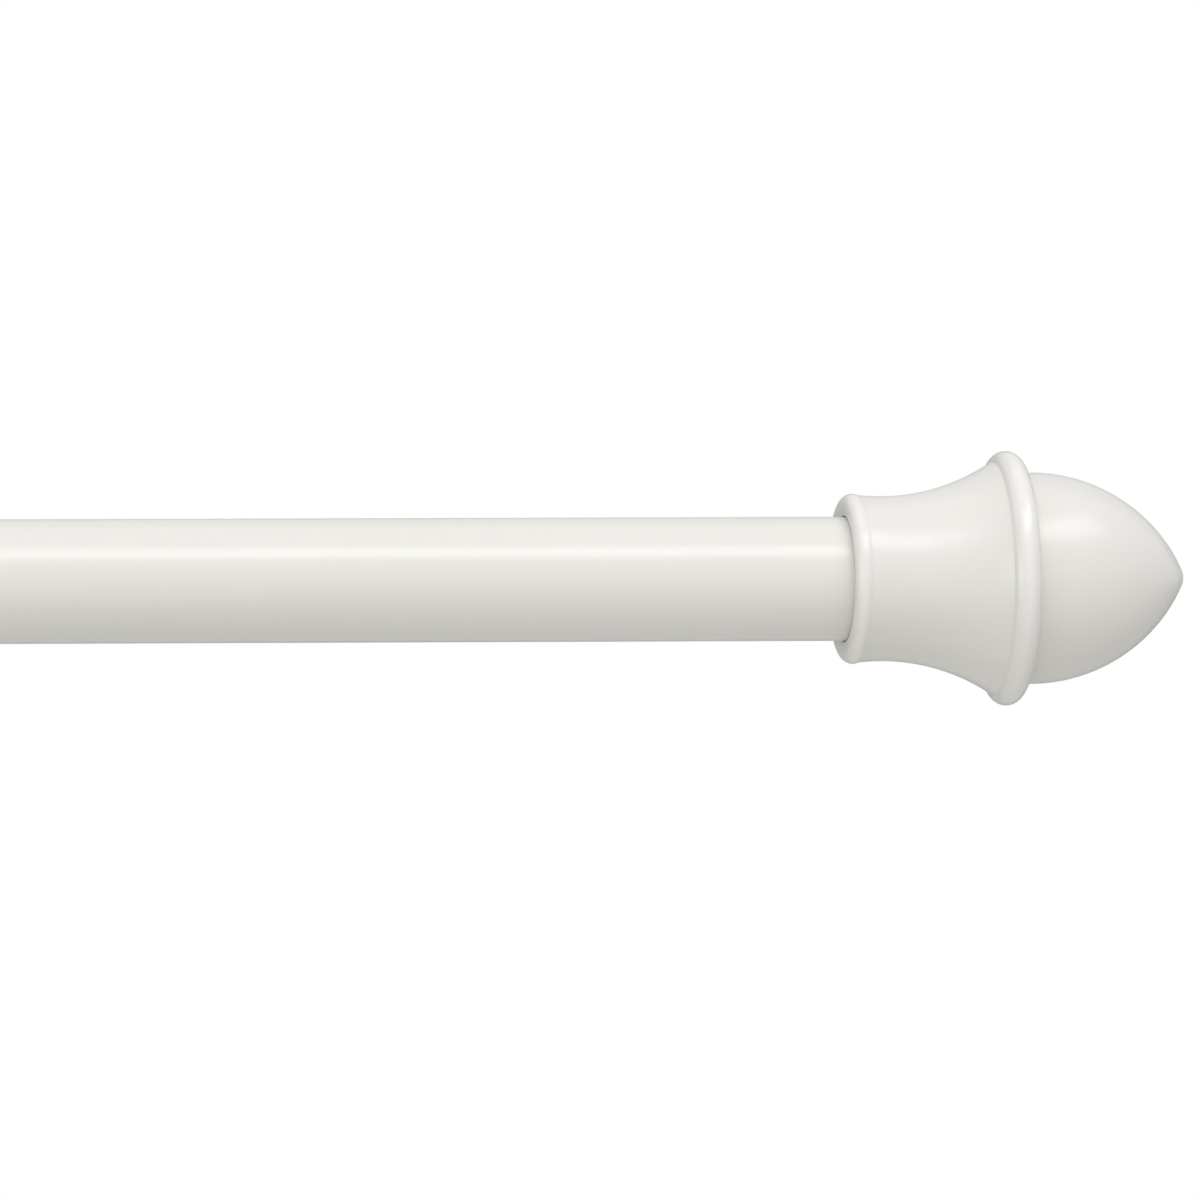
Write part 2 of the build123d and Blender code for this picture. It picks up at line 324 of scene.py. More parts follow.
def piece(name, vertices, faces, materials, which=None):
    """A mesh object at the origin, shaded smooth with its real edges kept sharp.

    Which holds the number of each face's material, counted from nought.
    """
    sharp_edge = math.radians(28)
    mesh = bpy.data.meshes.new(name)
    mesh.from_pydata(vertices.tolist(), [], faces)
    for material in materials:
        mesh.materials.append(material)
    if which is not None:
        mesh.polygons.foreach_set("material_index", np.asarray(which, np.int32))
    mesh.shade_smooth()
    mesh.set_sharp_from_angle(angle=sharp_edge)
    mesh.validate()
    made = bpy.data.objects.new(name, mesh)
    bpy.context.scene.collection.objects.link(made)
    return made


def fit(made, body, node):
    """Sets a finished piece on its body in place of the node that it stands for."""
    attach(made, body)
    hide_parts(node)


def add_node(tree, kind, inputs=None, **settings):
    """Adds a node, sets its own settings, and sets or links its inputs by name or number."""
    node = tree.nodes.new(kind)
    for key, value in settings.items():
        setattr(node, key, value)
    for key, value in (inputs or {}).items():
        if isinstance(value, bpy.types.NodeSocket):
            tree.links.new(value, node.inputs[key])
        else:
            node.inputs[key].default_value = value
    return node


def new_material(name):
    """A material with an empty node tree, and that tree."""
    material = bpy.data.materials.new(name)
    material.use_nodes = True
    material.node_tree.nodes.clear()
    return material, material.node_tree


def surface(tree, shader):
    """Makes a shader the surface of the tree's material."""
    add_node(tree, "ShaderNodeOutputMaterial", {"Surface": shader})


def noise(tree, place, width, detail):
    """Soft noise from nought to one, in patches about as wide as the width."""
    patches = add_node(tree, "ShaderNodeTexNoise", {"Vector": place, "Scale": 1 / width, "Detail": detail})
    return patches.outputs["Fac"]


def drawn_out(tree, place, width, run):
    """Places squeezed along X, where noise as wide as the width runs on along the piece for the run."""
    squeezed = add_node(tree, "ShaderNodeMapping", {"Vector": place, "Scale": (width / run, 1.0, 1.0)})
    return squeezed.outputs["Vector"]


def between(tree, factor, start, end):
    """A value that runs from start to end as a factor runs from nought to one."""
    ramp = add_node(tree, "ShaderNodeMapRange", {"Value": factor, "To Min": start, "To Max": end})
    return ramp.outputs["Result"]


def blend(tree, factor, first, second):
    """A colour that runs from the first to the second as a factor runs from nought to one."""
    mix = add_node(tree, "ShaderNodeMix", {"Factor": factor, "A": first, "B": second}, data_type="RGBA")
    return mix.outputs["Result"]


def bumped(tree, height, strength, depth):
    """The normal of a skin whose fine relief is as deep as the depth, felt at a strength."""
    relief = add_node(tree, "ShaderNodeBump", {"Height": height, "Strength": strength, "Distance": depth})
    return relief.outputs["Normal"]


def satin_white(tree, tone, roughness, normal):
    """The shader of enamel and moulding: a tone under a skin that shines a little more than most."""
    shader = add_node(
        tree,
        "ShaderNodeBsdfPrincipled",
        {
            "Base Color": tone,
            "Roughness": roughness,
            "IOR": 1.5,
            "Specular IOR Level": 0.6,
            "Normal": normal,
        },
    )
    return shader.outputs["BSDF"]


def baked_enamel(finishes):
    """White enamel, sprayed on steel tube and baked: a smooth satin skin.

    The film's faint orange peel softens the edges of reflections, and its thickness drifts slowly
    along the tube, which shifts gloss and tone by a hair.
    """
    peel_width, film_drift = 1.6 * MM, 45 * MM
    peel_depth, peel_strength = 2 * MICRON, 0.6
    thin_roughness, full_roughness = 0.25, 0.21
    material, tree = new_material("baked_enamel_on_steel")
    place = add_node(tree, "ShaderNodeTexCoord").outputs["Object"]
    peel = noise(tree, place, peel_width, detail=1.0)
    film = noise(tree, place, film_drift, detail=2.0)
    tone = blend(tree, film, (*finishes.enamel_thin, 1), (*finishes.enamel, 1))
    gloss = between(tree, film, thin_roughness, full_roughness)
    skin = bumped(tree, peel, peel_strength, peel_depth)
    surface(tree, satin_white(tree, tone, gloss, skin))
    return material


def moulded_polystyrene(finishes, rims=()):
    """White polystyrene, injection moulded in a satin tool: even and a little softer than the enamel.

    Flow lines run along the moulding as slow drifts of tone and gloss, and the tool's fine
    texture spreads the highlights. The texture is drawn coarser than its real grit, so that it shows.
    Each rim is a place along X and a reach: the moulding stands proud there, and its tone is painted
    paler as a painted highlight and its roughness is lowered, most at its crest.
    """
    flow_width, flow_length, grit = 9 * MM, 40 * MM, 0.5 * MM
    grit_depth, grit_strength = 1 * MICRON, 0.5
    flow_roughness, plain_roughness, rim_roughness = 0.31, 0.27, 0.2
    material, tree = new_material("moulded_polystyrene")
    place = add_node(tree, "ShaderNodeTexCoord").outputs["Object"]
    flow = noise(tree, drawn_out(tree, place, flow_width, flow_length), flow_width, detail=2.0)
    texture = noise(tree, place, grit, detail=1.0)
    tone = blend(tree, flow, (*finishes.moulding_flow, 1), (*finishes.moulding, 1))
    gloss = between(tree, flow, flow_roughness, plain_roughness)
    along = add_node(tree, "ShaderNodeSeparateXYZ", {"Vector": place}).outputs["X"]
    # Painted highlight: near each rim's crest the tone is painted paler, and the roughness goes lower
    for crest, reach in rims:
        ahead = add_node(tree, "ShaderNodeMath", {0: along, 1: crest}, operation="SUBTRACT")
        apart = add_node(tree, "ShaderNodeMath", {0: ahead.outputs[0]}, operation="ABSOLUTE")
        highlighted = add_node(
            tree,
            "ShaderNodeMapRange",
            {"Value": apart.outputs[0], "From Max": reach, "To Min": 1.0, "To Max": 0.0},
            interpolation_type="SMOOTHSTEP",
        ).outputs["Result"]
        tone = blend(tree, highlighted, tone, (*finishes.moulding_highlight, 1))
        smoother = add_node(tree, "ShaderNodeMix", {"Factor": highlighted, "A": gloss, "B": rim_roughness})
        gloss = smoother.outputs["Result"]
    skin = bumped(tree, texture, grit_strength, grit_depth)
    surface(tree, satin_white(tree, tone, gloss, skin))
    return material


def natural_acetal(finishes):
    """Uncoloured acetal, injection moulded: waxy and matte, with a faint cloud in its milky white."""
    cloud_width, grit = 4 * MM, 0.35 * MM
    grit_depth, grit_strength = 4 * MICRON, 0.5
    dark_milk, pale_milk = 0.96, 1.02
    material, tree = new_material("natural_acetal")
    place = add_node(tree, "ShaderNodeTexCoord").outputs["Object"]
    milk = between(tree, noise(tree, place, cloud_width, detail=3.0), dark_milk, pale_milk)
    tone = add_node(tree, "ShaderNodeHueSaturation", {"Color": (*finishes.bush, 1), "Value": milk})
    skin = bumped(tree, noise(tree, place, grit, detail=2.0), grit_strength, grit_depth)
    plastic = add_node(
        tree,
        "ShaderNodeBsdfPrincipled",
        {"Base Color": tone.outputs["Color"], "Roughness": 0.5, "IOR": 1.48, "Normal": skin},
    )
    surface(tree, plastic.outputs["BSDF"])
    return material


def rolled_steel(finishes):
    """Bare strip steel inside the tubes, as rolled: grey, with fine lines along the tube from the mill."""
    line_width, line_length = 0.4 * MM, 60 * MM
    line_depth, line_strength = 5 * MICRON, 0.5
    smooth_roughness, lined_roughness = 0.38, 0.55
    material, tree = new_material("rolled_strip_steel")
    place = add_node(tree, "ShaderNodeTexCoord").outputs["Object"]
    lines = noise(tree, drawn_out(tree, place, line_width, line_length), line_width, detail=2.0)
    gloss = between(tree, lines, smooth_roughness, lined_roughness)
    skin = bumped(tree, lines, line_strength, line_depth)
    steel = add_node(
        tree,
        "ShaderNodeBsdfPrincipled",
        {"Base Color": (*finishes.steel, 1), "Metallic": 1.0, "Roughness": gloss, "Normal": skin},
    )
    surface(tree, steel.outputs["BSDF"])
    return material


def seen_directly(tree):
    """One for rays from the camera, from gloss or through glass, and nought for light on the object."""
    path = add_node(tree, "ShaderNodeLightPath")
    gloss_or_glass = add_node(
        tree,
        "ShaderNodeMath",
        {0: path.outputs["Is Glossy Ray"], 1: path.outputs["Is Transmission Ray"]},
        operation="MAXIMUM",
    )
    any_of_them = add_node(
        tree,
        "ShaderNodeMath",
        {0: path.outputs["Is Camera Ray"], 1: gloss_or_glass.outputs[0]},
        operation="MAXIMUM",
    )
    return any_of_them.outputs[0]


def pale_floor(studio):
    """Matte pale floor: its own light lifts it to white where it is seen, and shadows still fall on it."""
    material, tree = new_material("matte_floor_paint")
    paint = add_node(tree, "ShaderNodeBsdfDiffuse", {"Color": (*studio.floor_colour, 1), "Roughness": 0.5})
    seen = seen_directly(tree)
    lift = add_node(tree, "ShaderNodeMath", {0: seen, 1: studio.floor_lift}, operation="MULTIPLY")
    glow = add_node(tree, "ShaderNodeEmission", {"Strength": lift.outputs[0]})
    lit = add_node(tree, "ShaderNodeAddShader", {0: paint.outputs["BSDF"], 1: glow.outputs["Emission"]})
    surface(tree, lit.outputs["Shader"])
    return material


def card_paint(radiance):
    """Grey card: the same low light from all of it."""
    material, tree = new_material("matte_grey_card")
    grey = add_node(tree, "ShaderNodeEmission", {"Strength": radiance})
    surface(tree, grey.outputs["Emission"])
    material.cycles.emission_sampling = "NONE"
    return material


def painted_tube(name, painted, bare, node, body, materials, segments):
    """A steel tube: a painted outline with a bare one behind it, turned together as one closed skin."""
    profile = outline(painted, bare)
    vertices, faces = turned(profile, 0.0, 1, segments)
    ring = np.repeat(np.arange(len(profile)), segments)
    made = piece(name, vertices, faces, materials, which=ring >= len(painted) - 1)
    fit(made, body, node)


class RodOperator:
    """What the rod's operators share: each shows in the redo panel and can be undone."""

    bl_options = {"REGISTER", "UNDO"}


class CAFEROD_OT_tubes(RodOperator, bpy.types.Operator):
    """Turn the outer tube with its rolled-in mouth, and the inner tube"""

    bl_idname = "cafe_rod.tubes"
    bl_label = "Tubes"

    def execute(self, context):
        sizes, finishes = context.scene.cafe_rod_tubes, context.scene.cafe_rod_finishes
        materials = [baked_enamel(finishes), rolled_steel(finishes)]
        self.outer_tube(sizes, materials)
        self.inner_tube(sizes, materials)
        return {"FINISHED"}

    def outer_tube(self, sizes, materials):
        """Outline: out along the rim, round the rolled mouth, along the outside, and back down the bore."""
        low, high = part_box("outer_tube")
        mouth, end = low.x, high.x
        bore = OUTER_RADIUS - sizes.wall
        rim = INNER_RADIUS + sizes.slide_clearance
        bend = (bore - INNER_RADIUS) / 2
        roll = bend + sizes.wall
        roll_centre = (mouth + roll, bore - bend)
        edge, quarter = sizes.edge, math.pi / 2
        roll_points, bend_points = 16, 10
        painted = outline(
            straight((mouth + sizes.wall, rim), (mouth + edge, rim)),
            arc((mouth + edge, rim + edge), edge, -quarter, -2 * quarter, EDGE_POINTS),
            arc(roll_centre, roll, 2 * quarter, quarter, roll_points),
            straight((mouth + roll, OUTER_RADIUS), (end - edge, OUTER_RADIUS), TUBE_POINTS),
            arc((end - edge, OUTER_RADIUS - edge), edge, quarter, 0, EDGE_POINTS),
        )
        bare = outline(
            arc((end - edge, bore + edge), edge, 0, -quarter, EDGE_POINTS),
            straight((end - edge, bore), (mouth + roll, bore), TUBE_POINTS),
            arc(roll_centre, bend, quarter, 2 * quarter, bend_points),
        )
        painted_tube(
            "outer_tube_skin", painted, bare, "outer_tube", "outer_rod", materials, sizes.segments
        )

    def inner_tube(self, sizes, materials):
        """Outline: along the outside from one cut end to the other, and back down the bore."""
        low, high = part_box("inner_tube")
        bore, edge, quarter = INNER_RADIUS - sizes.wall, sizes.edge, math.pi / 2
        painted = outline(
            arc((low.x + edge, INNER_RADIUS - edge), edge, 2 * quarter, quarter, EDGE_POINTS),
            straight((low.x + edge, INNER_RADIUS), (high.x - edge, INNER_RADIUS), TUBE_POINTS),
            arc((high.x - edge, INNER_RADIUS - edge), edge, quarter, 0, EDGE_POINTS),
        )
        bare = outline(
            arc((high.x - edge, bore + edge), edge, 0, -quarter, EDGE_POINTS),
            straight((high.x - edge, bore), (low.x + edge, bore), TUBE_POINTS),
            arc((low.x + edge, bore + edge), edge, -quarter, -2 * quarter, EDGE_POINTS),
        )
        painted_tube(
            "inner_tube_skin", painted, bare, "inner_tube", "inner_rod", materials, sizes.segments
        )


class CAFEROD_OT_bushes(RodOperator, bpy.types.Operator):
    """Turn the glide in the inner tube's hidden end and the reducer sleeve on its left end"""

    bl_idname = "cafe_rod.bushes"
    bl_label = "Bushes"

    def execute(self, context):
        sizes = context.scene.cafe_rod_tubes
        acetal = natural_acetal(context.scene.cafe_rod_finishes)
        for name, node, profile in (
            ("glide_skin", "inner_tube_glide", self.glide(sizes)),
            ("reducer_skin", "reducer_sleeve", self.reducer(sizes)),
        ):
            vertices, faces = turned(profile, 0.0, 1, sizes.segments)
            fit(piece(name, vertices, faces, [acetal]), "inner_rod", node)
        return {"FINISHED"}

    def glide(self, sizes):
        """Outline: along the plug, up the head's shoulder, over its chamfers, and back down the core."""
        low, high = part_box("inner_tube_glide")
        head = OUTER_RADIUS - sizes.wall - sizes.slide_clearance
        plug = INNER_RADIUS - sizes.wall - sizes.fixed_clearance
        core = plug - sizes.glide_wall
        shoulder, cut = low.x + sizes.glide_plug, sizes.glide_chamfer
        return np.array(
            [
                (low.x, core),
                (low.x, plug),
                (shoulder, plug),
                (shoulder, head - cut),
                (shoulder + cut, head),
                (high.x - cut, head),
                (high.x, head - cut),
                (high.x, core),
            ]
        )

    def reducer(self, sizes):
        """Outline: over the chamfered outside, down the mouth, along the bore, and in at the stop."""
        low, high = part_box("reducer_sleeve")
        bore = INNER_RADIUS + sizes.fixed_clearance
        stop_bore = INNER_RADIUS - sizes.reducer_stop_width
        stop, cut = low.x + sizes.reducer_stop, sizes.reducer_chamfer
        return np.array(
            [
                (low.x, stop_bore),
                (low.x, OUTER_RADIUS - cut),
                (low.x + cut, OUTER_RADIUS),
                (high.x - cut, OUTER_RADIUS),
                (high.x, OUTER_RADIUS - cut),
                (high.x, bore),
                (stop, bore),
                (stop, stop_bore),
            ]
        )


class FinialPlan:
    """Radii and places of a finial that its bell and its acorn share, measured from the bell's mouth."""

    def __init__(self, sizes):
        self.bore = OUTER_RADIUS + sizes.mouth_gap
        lip_crest = self.bore + sizes.lip_height
        collar_crest = lip_crest + sizes.collar_rise
        self.lip_centre = (sizes.lip_radius, lip_crest - sizes.lip_radius)
        self.face_centre = (sizes.lip_face, self.lip_centre[1])
        edge_radius = self.bore + sizes.lip_edge
        edge_drop = self.face_centre[1] - edge_radius
        edge_reach = math.sqrt((sizes.lip_face - sizes.lip_edge) ** 2 - edge_drop**2)
        self.edge_centre = (sizes.lip_face - edge_reach, edge_radius)
        self.collar_centre = (sizes.collar_position, collar_crest - sizes.collar_radius)
        self.back = sizes.collar_position + sizes.collar_radius
        self.acorn = self.collar_centre[1] - sizes.acorn_inset
        self.spigot = self.acorn - sizes.shoulder
        self.spigot_end = self.back - sizes.spigot_length
        self.seat = self.spigot + sizes.spigot_clearance
        self.lip_crease = arc(
            self.lip_centre, sizes.lip_radius, sizes.lip_crease_angle, sizes.lip_crease_angle, 1
        )[0]
        meet = math.pi - sizes.flare_meet_angle
        self.flare_end = arc(self.collar_centre, sizes.collar_radius, meet, meet, 1)[0]
        above = (self.lip_crease[0], self.lip_crease[1] + 2 * sizes.flare_radius)
        self.flare_centre = circles_meet(
            self.lip_crease, sizes.flare_radius, self.flare_end, sizes.flare_radius, above
        )
        self.hollow_radius = sizes.flare_radius + sizes.shell_wall
        self.sleeve = self.bore + sizes.sleeve_wall
        self.sleeve_end = sizes.socket_depth + sizes.stop_thickness

    def snap_ridge(self, sizes, foot, clearance):
        """The three corners of the snap ridge or of its groove, as it stands on a foot radius."""
        crest = self.spigot + sizes.snap_rise + clearance
        place = self.back - sizes.snap_setback
        half_width = (crest - foot) / math.tan(sizes.snap_flank)
        return np.array([(place - half_width, foot), (place, crest), (place + half_width, foot)])

    def hollow_place(self, radius):
        """How far along the bell's hollow reaches the shell's inner arc at a radius."""
        drop = self.flare_centre[1] - radius
        return self.flare_centre[0] + math.sqrt(self.hollow_radius**2 - drop**2)


class CAFEROD_OT_bells(RodOperator, bpy.types.Operator):
    """Turn the bell of each finial: rounded lip, hollow flare, half-round collar and ribbed socket"""

    bl_idname = "cafe_rod.bells"
    bl_label = "Finial bells"

    def execute(self, context):
        sizes = context.scene.cafe_rod_finials
        plan = FinialPlan(sizes)
        for side, finial in FINIALS.items():
            low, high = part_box(finial["bell"])
            back = high.x if finial["facing"] > 0 else low.x
            mouth = back - finial["facing"] * plan.back
            # Painted highlight bands on the lip and the collar, as places along X with their reach
            highlight_bands = ((sizes.lip_highlight, sizes.lip_highlight_reach), (sizes.collar_position, sizes.collar_highlight_reach))
            rims = [(mouth + finial["facing"] * middle, reach) for middle, reach in highlight_bands]
            plastic = moulded_polystyrene(context.scene.cafe_rod_finishes, rims)
            profile = outline(self.outside(sizes, plan), self.inside(sizes, plan))
            radii = self.ribbed(sizes, plan, profile)
            skin, skin_faces = turned(profile, mouth, finial["facing"], sizes.segments, radii)
            gussets, gusset_faces = self.gussets(sizes, plan, mouth, finial["facing"])
            made = piece(
                f"{side}_bell_skin",
                np.vstack([skin, gussets]),
                skin_faces + (gusset_faces + len(skin)).tolist(),
                [plastic],
            )
            fit(made, finial["body"], finial["bell"])
        return {"FINISHED"}

    def outside(self, sizes, plan):
        """Outline from the bore up the rounded mouth face, over the lip, the flare and the collar.

        A fillet's centre is where the lip's or collar's circle, grown by the fillet, meets the
        flare's circle, shrunk by it.
        """
        lip, flare, collar = plan.lip_centre, plan.flare_centre, plan.collar_centre
        half_turn, towards_axis = math.pi, 1.5 * math.pi
        edge_points, face_points, round_points, fillet_points, flare_points = 6, 16, 40, 10, 64
        face_start = bearing(plan.face_centre, plan.edge_centre) + 2 * half_turn
        lip_fillet = circles_meet(
            lip,
            sizes.lip_radius + sizes.lip_fillet,
            flare,
            sizes.flare_radius - sizes.lip_fillet,
            plan.lip_crease,
        )
        collar_fillet = circles_meet(
            collar,
            sizes.collar_radius + sizes.collar_fillet,
            flare,
            sizes.flare_radius - sizes.collar_fillet,
            plan.flare_end,
        )
        lip_end, collar_start = bearing(lip, lip_fillet), bearing(collar, collar_fillet)
        flare_start, flare_stop = bearing(flare, lip_fillet), bearing(flare, collar_fillet)
        return outline(
            arc(plan.edge_centre, sizes.lip_edge, towards_axis, face_start, edge_points),
            arc(plan.face_centre, sizes.lip_face, face_start, half_turn, face_points),
            arc(lip, sizes.lip_radius, half_turn, lip_end, round_points),
            arc(lip_fillet, sizes.lip_fillet, lip_end - half_turn, flare_start, fillet_points),
            arc(flare, sizes.flare_radius, flare_start, flare_stop, flare_points),
            arc(collar_fillet, sizes.collar_fillet, flare_stop, collar_start - half_turn, fillet_points),
            arc(collar, sizes.collar_radius, collar_start, 0, round_points),
        )

    def inside(self, sizes, plan):
        """Outline from the collar's back face to the seat, round the hollow and back along the socket."""
        flare = plan.flare_centre
        shell = (plan.hollow_place(plan.seat), plan.seat)
        wedge = (plan.hollow_place(plan.sleeve), plan.sleeve)
        stop_bore = OUTER_RADIUS - sizes.stop_width
        hollow_points, socket_points = 24, 64
        mouth_edge = (plan.edge_centre[0], plan.bore)
        return outline(
            straight((plan.back, plan.collar_centre[1]), (plan.back, plan.seat)),
            plan.snap_ridge(sizes, plan.seat, sizes.snap_clearance)[::-1],
            arc(flare, plan.hollow_radius, bearing(flare, shell), bearing(flare, wedge), hollow_points),
            straight(wedge, (plan.sleeve_end, plan.sleeve)),
            straight((plan.sleeve_end, stop_bore), (sizes.socket_depth, stop_bore)),
            straight((sizes.socket_depth, plan.bore), mouth_edge, socket_points)[:-1],
        )

    def ribbed(self, sizes, plan, profile):
        """Radii of the bell, less a rib's height where a crush rib stands in the socket.

        A rib's height is full within its width and length, and falls to nought over a short ramp
        beyond them, by the distance round the bore to the nearest rib and by the place along it.
        """
        turn = np.arange(sizes.segments) / sizes.segments * sizes.rib_count
        aside = np.abs(turn - np.round(turn)) * 2 * math.pi / sizes.rib_count * plan.bore
        across = np.clip(1 - (aside - sizes.rib_width / 2) / sizes.rib_ramp, 0, 1)
        first, last = sizes.rib_start, sizes.socket_depth - sizes.rib_end_gap
        lengthwise = np.interp(
            profile[:, 0], [first - sizes.rib_ramp, first, last, last + sizes.rib_ramp], [0, 1, 1, 0]
        )
        same_radius = 0.01 * MM
        in_socket = np.abs(profile[:, 1] - plan.bore) < same_radius
        height = sizes.mouth_gap - sizes.rib_clearance
        return profile[:, 1:] - height * np.outer(lengthwise * in_socket, across)

    def gussets(self, sizes, plan, mouth, facing):
        """Plates between sleeve and shell: a rectangle carried along the bell, once for each rib.

        Its foot stands in the middle of the sleeve's wall, its top follows the shell's inner arc from
        a quarter of the wall further out, and each plate is the first one turned about the axis.
        """
        stations, corners = 24, 4
        along = np.linspace(plan.hollow_place(plan.sleeve), plan.spigot_end - sizes.gusset_gap, stations)
        reach = plan.hollow_radius - sizes.shell_wall / 4
        top = plan.flare_centre[1] - np.sqrt(reach**2 - (along - plan.flare_centre[0]) ** 2)
        foot = np.full(stations, (plan.bore + plan.sleeve) / 2)
        half = sizes.gusset_thickness / 2
        height = np.stack([foot, foot, top, top], axis=1)
        side = np.tile([-half, half, half, -half], (stations, 1))
        turn = np.arange(sizes.rib_count)[:, None, None] * 2 * math.pi / sizes.rib_count
        y = height * np.cos(turn) - side * np.sin(turn)
        z = height * np.sin(turn) + side * np.cos(turn)
        x = np.broadcast_to(mouth + facing * along[:, None], y.shape)
        vertices = np.stack([x, facing * y, z], axis=-1).reshape(-1, 3)
        corner = np.arange(corners)
        after = (corner + 1) % corners
        ring = corners * np.arange(stations - 1)[:, None]
        next_ring = ring + corners
        sides = np.stack([ring + corner, ring + after, next_ring + after, next_ring + corner], axis=-1)
        caps = np.array([corner[::-1], corners * (stations - 1) + corner])
        plate = np.vstack([sides.reshape(-1, corners), caps])
        plates = np.arange(sizes.rib_count)[:, None, None] * corners * stations
        return vertices, (plate + plates).reshape(-1, corners)


class CAFEROD_OT_acorns(RodOperator, bpy.types.Operator):
    """Turn the hollow acorn of each finial, with its round tip and its spigot"""

    bl_idname = "cafe_rod.acorns"
    bl_label = "Finial acorns"

    def execute(self, context):
        sizes = context.scene.cafe_rod_finials
        plastic = moulded_polystyrene(context.scene.cafe_rod_finishes)
        plan = FinialPlan(sizes)
        for side, finial in FINIALS.items():
            low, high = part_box(finial["acorn"])
            tip = high.x if finial["facing"] > 0 else low.x
            mouth_to_tip = plan.spigot_end + high.x - low.x
            mouth = tip - finial["facing"] * mouth_to_tip
            profile = self.profile(sizes, plan, mouth_to_tip)
            vertices, faces = turned(profile, mouth, finial["facing"], sizes.segments)
            made = piece(f"{side}_acorn_skin", vertices, faces, [plastic])
            fit(made, finial["body"], finial["acorn"])
        return {"FINISHED"}

    def profile(self, sizes, plan, tip):
        """Outline from the hollow's end back along the core, out round the spigot, and over the dome.

        The dome is an ogive, level at its foot, that touches the tip's ball from inside, and the
        hollow's arc lies one wall inside it.
        """
        hollow_points, dome_points, tip_points = 48, 72, 14
        start = plan.back + sizes.acorn_land
        ball = tip - sizes.tip_radius
        run, rise = ball - start, plan.acorn - sizes.tip_radius
        ogive_radius = (run**2 + plan.acorn**2 - sizes.tip_radius**2) / (2 * rise)
        centre = (start, plan.acorn - ogive_radius)
        join = bearing(centre, (ball, 0))
        core_radius = ogive_radius - sizes.acorn_wall
        core = plan.spigot - sizes.spigot_wall
        core_join = math.asin((core - centre[1]) / core_radius)
        core_end = math.asin((sizes.core_tip_radius - centre[1]) / core_radius)
        hollow = arc(centre, core_radius, core_end, core_join, hollow_points)
        lead = sizes.spigot_lead
        return outline(
            [(hollow[0][0], 0.0)],
            hollow,
            straight((plan.spigot_end, core), (plan.spigot_end, plan.spigot - lead)),
            [(plan.spigot_end + lead, plan.spigot)],
            plan.snap_ridge(sizes, plan.spigot, 0.0),
            straight((plan.back, plan.spigot), (plan.back, plan.acorn)),
            arc(centre, ogive_radius, math.pi / 2, join, dome_points),
            arc((ball, 0), sizes.tip_radius, join, 0, tip_points)[:-1],
            [(tip, 0.0)],
        )


